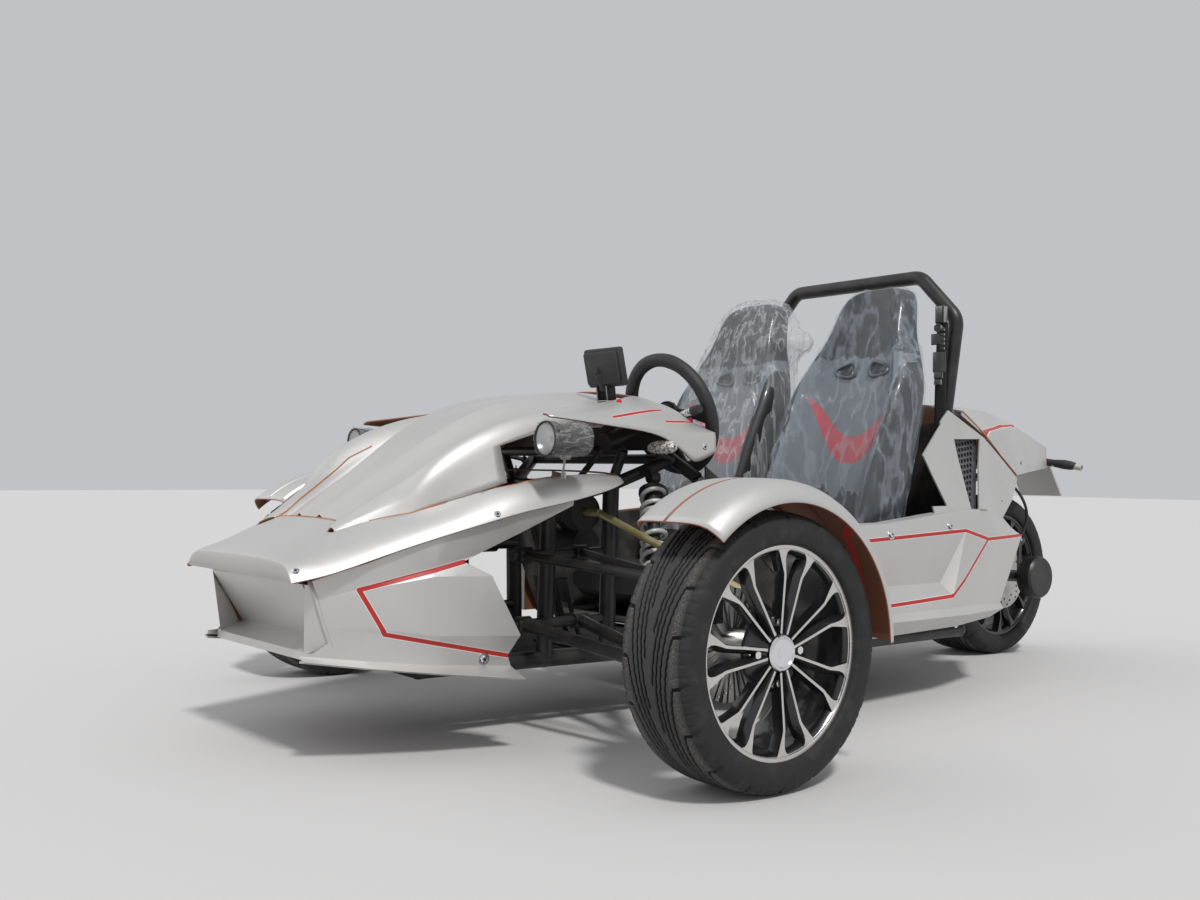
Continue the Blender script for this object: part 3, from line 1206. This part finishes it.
for hand, side in sides:
    bowl = lamp_turned([
        (0, 45), (0, 42.5), (-4, 41.5), (-30, 41), (-31, 44), (-34, 43), (-70, 38), (-110, 34), (-128, 32),
        (-134, 26), (-135, 1), (-131, 0.5), (-125, 28), (-70, 35), (-34, 40), (-28, 42), (-24, 45.5), (-2, 46),
    ], hand)
    bowl = fitted(bowl, "lamp_bowl_" + side, "chassis", [grained_black], ["headlamps"] * (hand > 0))
    mirror_bowl = lamp_turned([
        (-5, 41), (-14, 37), (-24, 30), (-32, 20), (-36, 10), (-36.5, 0.5), (-38, 0.5), (-38, 12), (-33, 23),
        (-25, 33), (-15, 39), (-6, 42),
    ], hand)
    add_rods(mirror_bowl, [((lamp_x, -146, lamp_z), (lamp_x, -168, lamp_z), 0.009, 20, 0.005)], hand)
    fitted(mirror_bowl, "lamp_reflector_" + side, "chassis", [steel])
    glass = lamp_turned([
        (-3, 42), (-1, 38), (1.5, 28), (3, 14), (3.4, 0.6), (2, 0.6), (1.6, 14), (0, 28), (-2.5, 38), (-5, 41.5),
    ], hand)
    fitted(glass, "lamp_glass_" + side, "chassis", [lens.material])
    cover = bmesh.new()
    bmesh.ops.create_grid(cover, x_segments=72, y_segments=60, size=0.5)
    for vert in cover.verts:
        angle = math.tau * (vert.co.x + 0.5)
        share = vert.co.y + 0.5
        back = 1 + 150 * share
        hug = film_radius - 36 * max(0, share - twist_from) / (1 - twist_from)
        gather = noise.noise(Vector((math.cos(angle) * 2.2, math.sin(angle) * 2.2, share * 5 + hand)))
        radius = hug - 5 * share * min(1, (1 - share) * 6) + 4.2 * gather
        vert.co = place(
            hand * lamp_x + lamp_scale * radius * math.cos(angle), -181 + lamp_scale * back,
            lamp_z + lamp_scale * radius * math.sin(angle),
        )
    bmesh.ops.remove_doubles(cover, verts=cover.verts, dist=0.0001)
    outwards(cover)
    cover = fitted(cover, "lamp_film_" + side, "chassis", [lamp_film], sharp=70)
    bracket = bmesh.new()
    add_plate(bracket, place(hand * 438, -120, 668), place(hand * 398, -96, 622), 16, 3)
    add_plate(bracket, place(hand * 402, -96, 623), place(hand * 347, -88, 628), 14, 3)
    add_rods(bracket, [
        ((438, -128, 668), (438, -108, 668), 0.0075, 20), ((438, -132, 668), (438, -126, 668), 0.0055, 6),
        ((438, -118, 664), (439, -116, 678), 0.005, 12), ((400, -94, 618), (400, -94, 632), 0.006, 6),
    ], hand)
    fitted(bracket, "lamp_bracket_" + side, "chassis", [steel])

    # front indicator: an oval lens in crumpled film on its stalk
    blinker = bmesh.new()
    oval = [(-43, 0.5), (-41, 6), (-32, 12), (-14, 15), (10, 15.5), (30, 13), (40, 7), (43, 0.5)]
    spin_profile(blinker, oval, steps=40)
    blinker = worked(blinker, ("SUBSURF", {"levels": 1, "render_levels": 1}))
    for vert in blinker.verts:
        vert.co = Vector((vert.co.x * 1.2, vert.co.y * 1.1, vert.co.z * 1.12)) + place(hand * 395, 212, 695.5)
    creased(blinker, -0.001, 0.0022, (90, 90, 90), seed=hand)
    shown = ["indicators"] * (hand > 0)
    fitted(blinker, "blinker_film_" + side, "chassis", [blinker_clear], shown, sharp=60)
    stalk = bmesh.new()
    add_rods(stalk, [
        ((318, 313, 666), (358, 214, 688), 0.006), ((352, 216, 686), (366, 212, 692), 0.009, 16, 0.011),
        ((318, 316, 662), (318, 306, 670), 0.011, 6),
    ], hand)
    fitted(stalk, "blinker_stalk_" + side, "chassis", [grained_black])

# Steering column: a bolted boss on the wheel's slanted axis, and a stalk at each
# hand, still in film, with a black knob. The leather is the wheel's, drawn below.
grip = Finish("wheel_leather", (0.018, 0.018, 0.019), Roughness=0.5)
hide = grip.node("ShaderNodeTexVoronoi", {}, grip.spot, None, 900.0)
grip.set(Base_Color=grip.mix(grip.noise(20.0, 3.0), (0.014, 0.014, 0.015), (0.03, 0.03, 0.03)))
grip.coarse(0.4, 0.2, 60.0)
grip.bump(hide, 0.0003)
dressed(grip.material, "steering_wheel")


# Puts the faces that were added since a count into a material slot.
def slotted(bm, count, slot):
    bm.faces.ensure_lookup_table()
    for face in bm.faces[count:]:
        face.material_index = slot


steering_middle = (255, 367, 785)
steering_x = steering_middle[0]
stalks = bmesh.new()
for hand in (1, -1):
    count = len(stalks.faces)
    add_rods(stalks, [((steering_x + hand * 30, 332, 768), (steering_x + hand * 140, 322, 790), 0.008, 16, 0.011)])
    slotted(stalks, count, 1)
    add_rods(stalks, [((steering_x + hand * 132, 322, 788), (steering_x + hand * 158, 320, 793), 0.013, 20, 0.011)])
    for fold in range(3):
        start = place(steering_x + hand * (58 + 24 * fold), 328, 774 + 5 * fold)
        add_rod(stalks, start, start + Vector((hand * 0.02, -0.002, 0.004)), 0.0105, 16, 0.008)
fitted(stalks, "column_stalks", "chassis", [grained_black, blinker_clear])
boss = bmesh.new()
spin_profile(boss, [(0, 1), (0, 34), (-4, 37), (-12, 38), (-12, 30), (-3, 26), (-3, 1)], steps=48)
for bolt in range(6):
    angle = math.tau * bolt / 6
    head = Vector((0, 0.03 * math.cos(angle), 0.03 * math.sin(angle)))
    add_rod(boss, head - Vector((0.002, 0, 0)), head + Vector((0.003, 0, 0)), 0.004, 6)
column_slope = math.radians(19)
column_axis = Vector((0, math.cos(column_slope), math.sin(column_slope)))
lean = column_axis.to_track_quat("X", "Z").to_matrix().to_4x4()
boss_place = Matrix.Translation(place(*steering_middle) + column_axis * 0.003)
bmesh.ops.transform(boss, matrix=boss_place @ lean, verts=boss.verts)
fitted(boss, "wheel_boss", "steering_wheel", [grained_black])

# Display: a black case with a raised rim behind its glass, two clamp plates with
# their bolts, and the ball joint that it turns on
case = bmesh.new()
facing = Vector((0, -0.97, -0.22)).normalized()
case_turn = facing.to_track_quat("Z", "Y").to_matrix().to_4x4()
case_place = place(232, 165, 897)
add_block(case, case_place, (138, 98, 20), case_turn, 0.006)
add_block(case, case_place + facing * 0.012, (126, 84, 14), case_turn, 0.0065)
fitted(case, "display_case", "chassis", [grained_black], ["display"])
screen = Finish("screen_glass", (0.01, 0.011, 0.014), Roughness=0.06, Coat_Weight=1.0)
screen.coarse(0.04, 0.08, 40.0)
pane = bmesh.new()
add_block(pane, case_place - facing * 0.0102, (124, 84, 2), case_turn, 0.0008)
fitted(pane, "display_glass", "chassis", [screen.material])
mount = bmesh.new()
add_rods(mount, [((222, 158, 884), (222, 171, 846), 0.017, 24, 0.013)])
count = len(mount.faces)
add_rods(mount, [((218, 140, 886), (219, 158, 889), 0.0085, 6)])
slotted(mount, count, 1)
ball_place = Matrix.Translation(place(222, 171, 846))
bmesh.ops.create_uvsphere(mount, u_segments=24, v_segments=16, radius=0.0135, matrix=ball_place)
for x in (203, 241):
    add_plate(mount, place(x, 172, 852), place(x, 178, 812), 30, 4, 1)
    add_rods(mount, [((x - 6, 170, 840), (x + 6, 170, 840), 0.007, 6)])
add_block(mount, place(222, 176, 810), (50, 34, 8), slot=1)
add_rods(mount, [((196, 170, 852), (246, 170, 852), 0.005, 12), ((190, 168, 858), (204, 166, 880), 0.008, 16, 0.012)])
fitted(mount, "display_mount", "chassis", [grained_black, steel])


# Spring legs and the rear shock: a wound spring with closed ends round a damper
# with its rod, two spring seats and an eye at each end
def add_coil(bm, start, end, radius, wire, turns, slot):
    run = end - start
    lay = run.to_track_quat("Z", "Y").to_matrix()
    rings = []
    count = int(turns * 28)
    for i in range(count + 1):
        share = i / count
        angle = math.tau * turns * share
        rise = share + 0.03 * math.sin(math.tau * share * 2) * (1 if 0.1 < share < 0.9 else 0.4)
        out = Vector((math.cos(angle), math.sin(angle), 0))
        spot = out * radius + Vector((0, 0, run.length * max(0.0, min(1.0, rise))))
        rings.append([
            bm.verts.new(start + lay @ (spot + wire * (out * math.cos(a) + Vector((0, 0, math.sin(a))))))
            for a in [math.tau * k / 10 for k in range(10)]
        ])
    bridged(bm, rings, slot)


# A whole leg; the spring stands between two shares of the way from top to foot.
def spring_leg(top, foot, radius, wire, turns, reach):
    bm = bmesh.new()
    run = foot - top
    add_rod(bm, top, foot, 0.009, 20)
    add_rod(bm, top + run * 0.5, top + run * 0.95, 0.021, 32)
    add_rod(bm, top + run * 0.06, top + run * 0.5, 0.016, 24)
    for share in reach:
        seat_start = top + run * (share - 0.008)
        add_rod(bm, seat_start, top + run * (share + 0.008), radius + 0.002, 40)
        add_rod(bm, seat_start, top + run * (share + 0.02), radius * 0.72, 32)
    for end in (top, foot):
        add_pin(bm, end, (0, 0.014, 0), 0.014, 24)
        add_pin(bm, end, (0, 0.019, 0), 0.008, 6)
    add_coil(bm, top + run * reach[0], top + run * reach[1], radius - wire, wire, turns, 1)
    outwards(bm)
    return bm


for hand, side in sides:
    leg = spring_leg(place(hand * 306, 262, 620), place(hand * 540, 66, 246), 0.035, 0.0062, 8, (0.1, 0.63))
    shown = ["coilovers"] * (hand > 0)
    fitted(leg, "spring_leg_" + side, "chassis", [stay_paint.material, spring_grey], shown)
shock = spring_leg(place(0, 1708, 586), place(0, 1750, 318), 0.034, 0.0055, 7, (0.2, 0.78))
fitted(shock, "rear_shock_form", "chassis", [stay_paint.material, spring_grey], ["rear_shock"])

# Brake discs: the frame's shapes with three rings of drilled holes
for name, x, y, body in (
    ("front_left", 848, 0, "wheel_left"), ("front_right", -848, 0, "wheel_right"),
    ("rear", 112, rear_axle_back, "wheel_rear"),
):
    disc_form = bmesh.new()
    disc_form.from_mesh(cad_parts["disc_" + name].data)
    bmesh.ops.remove_doubles(disc_form, verts=disc_form.verts, dist=0.00001)
    drills = bmesh.new()
    for hole in range(36):
        angle = math.tau * hole / 36
        reach = (0.086, 0.098, 0.108)[hole % 3]
        spot = place(x, y, axle_z) + Vector((0, math.sin(angle), math.cos(angle))) * reach
        add_pin(drills, spot, (0.009, 0, 0), 0.0042, 12)
    fitted(drilled(disc_form, drills), "drilled_disc_" + name, body, [steel], ["disc_" + name])

# Engine: a crankcase with bolted round covers, a finned barrel and head, the
# intake, and the gearbox end, inside the block that the frame keeps for it
motor_x = 26
motor = bmesh.new()
for y, z, size, rounding in (
    (1500, 292, (284, 264, 142), 0.02), (1500, 226, (200, 180, 16), 0.006), (1452, 390, (150, 120, 60), 0.012),
    *((1450, 400 + 9 * fin, (176, 148, 4), 0.0015) for fin in range(9)), (1450, 492, (150, 124, 44), 0.012),
    (1585, 400, (120, 90, 70), 0.01),
):
    add_block(motor, place(motor_x, y, z), size, rounding=rounding)
for hand in (1, -1):
    for y, z, radius in ((1460, 296, 58), (1570, 286, 46)):
        hub = place(motor_x + hand * 136, y, z)
        add_pin(motor, hub, (0.006, 0, 0), radius / 1000, 48)
        for bolt in range(8):
            angle = math.tau * bolt / 8
            head = hub + Vector((0, math.cos(angle), math.sin(angle))) * (radius - 8) / 1000
            add_pin(motor, head, (0.0075, 0, 0), 0.0045, 6)
add_rods(motor, [((motor_x, 1520, 470), (60, 1600, 486), 0.024, 32), ((60, 1600, 486), (60, 1636, 480), 0.03, 32)])
outwards(motor)
fitted(motor, "engine_form", "chassis", [cast_alloy], ["engine"])

# Rear brake hose: it comes from under the tail and hangs in one loose bend to
# the caliper, with a crimped fitting at each end
hose_route = [
    (150, 2040, 672), (150, 2046, 640), (152, 2086, 600), (156, 2140, 560), (154, 2180, 505), (142, 2188, 450),
    (122, 2176, 402),
]
hose_line = bpy.data.curves.new("brake_hose_line", "CURVE")
hose_line.dimensions = "3D"
hose_line.bevel_depth = 0.005
hose_line.bevel_resolution = 4
spline = hose_line.splines.new("NURBS")
spline.points.add(len(hose_route) - 1)
for point, spot in zip(spline.points, hose_route):
    point.co = (*place(*spot), 1)
spline.order_u = 3
spline.use_endpoint_u = True
hose_line.materials.append(hose_black)
hose = linked("brake_hose_line", hose_line)
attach(hose, "chassis")
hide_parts("brake_hose")
ends = bmesh.new()
add_rods(ends, [
    ((150, 2039, 680), (150, 2043, 655), 0.0065, 6), ((126, 2178, 414), (121, 2175, 400), 0.0065, 6),
    ((116, 2175, 404), (134, 2175, 404), 0.0055),
])
fitted(ends, "hose_fittings", "chassis", [steel])
tuple(place(*hose_route[0]))

# Steering wheel rim and spokes: the frame's ring, with a thumb swell, and three
# dished spokes, level at both sides and down, in place of the frame's plain bars
wheel_form = bmesh.new()
ring_rows = 96
ring_radius = 0.1468
grip_radius = 0.0176
rings = []
for row in range(ring_rows):
    angle = math.tau * row / ring_rows
    swell = 1 + 0.05 * math.exp(-((abs(math.sin(angle)) - 0.35) / 0.12) ** 2)
    thick = grip_radius * swell
    out = Vector((0, -math.sin(angle), math.cos(angle)))
    rings.append([
        wheel_form.verts.new(out * (ring_radius + thick * math.cos(a)) + Vector((thick * math.sin(a), 0, 0)))
        for a in [math.tau * k / 16 for k in range(16)]
    ])
bridged(wheel_form, rings + rings[:1], capped=False)
for turn in (90, 180, 270):
    spoke = bmesh.new()
    bmesh.ops.create_grid(spoke, x_segments=8, y_segments=6, size=0.5)
    for vert in spoke.verts:
        share = vert.co.x + 0.5
        half = 0.021 - 0.013 * math.sin(math.pi * share) ** 2 + 0.006 * share
        dish = -0.004 - 0.008 * (1 - share) + 0.002 * math.cos(vert.co.y * 6)
        vert.co = Vector((dish, vert.co.y * 2 * half, 0.024 + 0.118 * share))
    solid = worked(spoke, ("SOLIDIFY", {"thickness": 0.006, "offset": 0.0}))
    bmesh.ops.rotate(solid, cent=(0, 0, 0), matrix=Matrix.Rotation(math.radians(turn), 3, "X"), verts=solid.verts)
    mesh = bpy.data.meshes.new("spoke")
    solid.to_mesh(mesh)
    solid.free()
    wheel_form.from_mesh(mesh)
    bpy.data.meshes.remove(mesh)
add_rod(wheel_form, Vector((0.001, 0, 0)), Vector((-0.03, 0, 0)), 0.036, 40, 0.03)
outwards(wheel_form)
bmesh.ops.transform(wheel_form, matrix=Matrix.Translation(place(*steering_middle)) @ lean, verts=wheel_form.verts)
fitted(wheel_form, "steering_wheel_form", "steering_wheel", [grip.material], ["steering_wheel"])


# Puts a point onto the outside of a piece, and says which way it faces there.
def landed(piece, spot):
    graph = bpy.context.evaluated_depsgraph_get()
    hit, at_spot, normal, index = bpy.data.objects[piece].closest_point_on_mesh(spot, depsgraph=graph)
    if normal.dot(spot - place(0, spot.y * 1000 - front_axle_y, 450)) < 0:
        normal = -normal
    return at_spot, normal


# Adds a tube along a line of points.
def add_tube(bm, points, radius):
    rings = []
    for i, point in enumerate(points):
        run = points[min(i + 1, len(points) - 1)] - points[max(i - 1, 0)]
        turn = run.to_track_quat("Z", "Y").to_matrix()
        rings.append([
            bm.verts.new(point + turn @ Vector((math.cos(a), math.sin(a), 0)) * radius)
            for a in [math.tau * k / 8 for k in range(8)]
        ])
    bridged(bm, rings)
    outwards(bm)


# Seams: where two mouldings meet, a thin line of red brown sheet shows
seam_brown = plain_finish("seam_brown", [(0.36, 0.13, 0.045), (0.5, 0.22, 0.09)], 0.5, 0.2, 200.0, 0.0002)
seams = bmesh.new()
cover_line = [
    (0, -533), (70, -533), (140, -533), (160, -554), (181, -575), (196, -572), (206, -546), (219, -515), (236, -486),
    (252, -460), (279, -420), (300, -356), (318, -300), (335, -248), (350, -200), (349, -140), (348, -80),
]
tail_line = [(424, 1402, 826), (412, 1475, 796), (400, 1549, 764), (366, 1690, 699), (332, 1838, 632)]
pod_line = [
    (144, -538, 508), (156, -510, 520), (168, -470, 548), (182, -430, 572), (194, -390, 598), (208, -350, 624),
    (220, -310, 656), (225, -270, 672), (226, -242, 686),
]
for hand in (1, -1):
    raised = []
    for x, y in cover_line:
        spot, normal = landed("nose_cover_skin", place(hand * x, y, 640 if y > -300 else 560))
        raised.append(Vector((hand * x / 1000, spot.y, spot.z - 0.0005)))
    add_tube(seams, raised, 0.0021)
    raised = [landed("tail_cowl_moulding", place(hand * x, y, z)) for x, y, z in tail_line]
    add_tube(seams, [spot + normal * 0.0006 for spot, normal in raised], 0.002)
    raised = [landed("hood_skin", place(hand * x, y, z + 12)) for x, y, z in pod_line]
    add_tube(seams, [spot + Vector((0, 0, 0.0006)) for spot, normal in raised], 0.0019)
fitted(seams, "body_seams", "chassis", [seam_brown])

# Nose corners: a narrow return joins each fin to the side panel beside it
for hand, side in sides:
    corner = bmesh.new()
    rows = []
    for fin, flank in (
        ((252, -654, 399), (265, -651, 400)), ((256, -640, 350), (266, -634, 350)),
        ((260, -625, 300), (269, -618, 300)), ((262, -615, 268), (270, -606, 268)),
        ((265, -607, 248), (269, -600, 248)),
    ):
        rows.append([corner.verts.new(place(hand * x, y, z)) for x, y, z in (fin, flank)])
    for first, second in zip(rows, rows[1:]):
        corner.faces.new([first[0], first[1], second[1], second[0]])
    face_out(corner, Vector((hand, -1, 0)))
    walled(fitted(corner, "nose_corner_" + side, "chassis", [plain_silver, plain_silver]), 0.002)

# Fasteners: bright domed screws on black washers, and red plug caps on the cowl
screws = bmesh.new()
screw_spots = {
    "nose_cover_skin": [(268, -690, 422), (375, -262, 535)],
    "nose_side_{}_moulding": [(362, -281, 217)],
    "side_panel_{}_moulding": [(572, 863, 472), (550, 1150, 488), (500, 1270, 204), (405, 1610, 550)],
    "tail_cowl_moulding": [(300, 1973, 690)],
    "cowl_wings": [(428, 322, 698)],
}


# Adds rods in line: each from one height to another, radius, sides, radius at its end.
def stacked(bm, spot, way, rods):
    for low, high, *form in rods:
        add_rod(bm, spot + way * low, spot + way * high, *form)


for hand, side in sides:
    for piece, spots in screw_spots.items():
        for x, y, z in spots:
            spot, normal = landed(piece.format(side), place(hand * x, y, z))
            stacked(screws, spot, normal, [(-0.002, 0.0016, 0.0135, 28, 0.013)])
            added = len(screws.faces)
            stacked(screws, spot, normal, [(0.001, 0.004, 0.0094, 24, 0.0088), (0.0038, 0.0062, 0.0088, 24, 0.0054)])
            slotted(screws, added, 1)
            stacked(screws, spot, normal, [(0.0056, 0.0064, 0.0036, 6)])
fitted(screws, "panel_screws", "chassis", [grained_black, chrome.material])
plug_red = plain_finish("plug_red", [(0.5, 0.02, 0.03), (0.62, 0.05, 0.06)], 0.35, 0.15, 300.0, 0.0001)
plugs = bmesh.new()
for hand in (1, -1):
    for x, y, z in ((315, 140, 806), (378, 338, 768)):
        spot, normal = landed("cowl_wings", place(hand * x, y, z))
        stacked(plugs, spot, normal, [(-0.001, 0.004, 0.0075, 24, 0.0068), (0.003, 0.007, 0.0055, 24, 0.004)])
fitted(plugs, "cowl_plugs", "chassis", [plug_red])

# Grille backs: a dark sheet close behind each of the frame's two grilles
grille_start = Vector((468, 1362, 524))
grille_up = (Vector((426, 1330, 745)) - grille_start).normalized()
grille_in = grille_up.cross(Vector((390, 1515, 745)) - grille_start).normalized()
grille_along = grille_in.cross(grille_up)
dark_back = plain_finish("dark_back", [(0.004, 0.004, 0.005), (0.008, 0.008, 0.009)], 0.8, 0.1, 200.0, 0.0001)
for hand, side in sides:
    back = bmesh.new()
    corners = []
    for along, up in ((-7, -8), (72, -10), (144, 100), (203, 218), (203, 223), (-7, 231)):
        spot = grille_start + grille_along * along + grille_up * up + grille_in * 6
        corners.append(back.verts.new(place(hand * spot.x, spot.y, spot.z)))
    back.faces.new(corners)
    face_out(back, Vector((hand, 0, 0)))
    walled(fitted(back, "grille_back_" + side, "chassis", [dark_back, dark_back]), 0.001)

# Plate flap: silver sheet, with a black tapered turn lamp on each stalk
dressed(silver_flap, "plate_holder")
turn_lamps = bmesh.new()
for hand in (1, -1):
    add_rods(turn_lamps, [
        ((66, 2415, 686), (104, 2425, 680), 0.0136, 24), ((100, 2424, 681), (142, 2435, 675), 0.0125, 28, 0.0175),
        ((142, 2435, 675), (168, 2442, 671), 0.0175, 28, 0.0162),
        ((168, 2442, 671), (206, 2452, 664), 0.0162, 28, 0.007), ((60, 2414, 686), (72, 2417, 685), 0.018, 24),
    ], hand)
fitted(turn_lamps, "turn_lamp_covers", "chassis", [grained_black])

# Nuts: one on each wishbone eye, and one on each tie rod end, which rides on the rack
for name, body, stations in (
    ("joint_nuts", "chassis", [(0, 404, 416), (0, 176, 186)]), ("tie_rod_nuts", "rack", [(110, 388, 398)]),
):
    nuts = bmesh.new()
    for hand in (1, -1):
        for y, low, high in stations:
            add_rods(nuts, [
                ((790, y, low), (790, y, high), 0.0125, 6), ((790, y, low - 4), (790, y, high + 5), 0.0068),
            ], hand)
    fitted(nuts, name, body, [chrome.material])

# Floor and light: a pale seamless floor under soft studio light
floor_bm = bmesh.new()
bmesh.ops.create_grid(floor_bm, x_segments=1, y_segments=1, size=30)
floor_mesh = bpy.data.meshes.new("floor")
floor_bm.to_mesh(floor_mesh)
floor_bm.free()
floor = linked("floor", floor_mesh)
floor_finish = Finish("studio_floor", (0.62, 0.61, 0.6), Roughness=0.85, Specular_IOR_Level=0.2)
floor_mesh.materials.append(floor_finish.material)
world = bpy.data.worlds.new("studio")
scene.world = world
world.use_nodes = True
sky = world.node_tree.nodes["Background"]
sky.inputs["Color"].default_value = (0.86, 0.87, 0.9, 1)
sky.inputs["Strength"].default_value = 0.62
for name, energy, turn, spread in (
    ("key", 1.95, (0.62, 0.18, 0.95), 0.12),
    ("fill", 0.5, (1.15, 0.0, -0.9), 1.2),
):
    sun_data = bpy.data.lights.new(name, "SUN")
    sun_data.energy = energy
    sun_data.angle = spread
    linked(name, sun_data).rotation_euler = turn
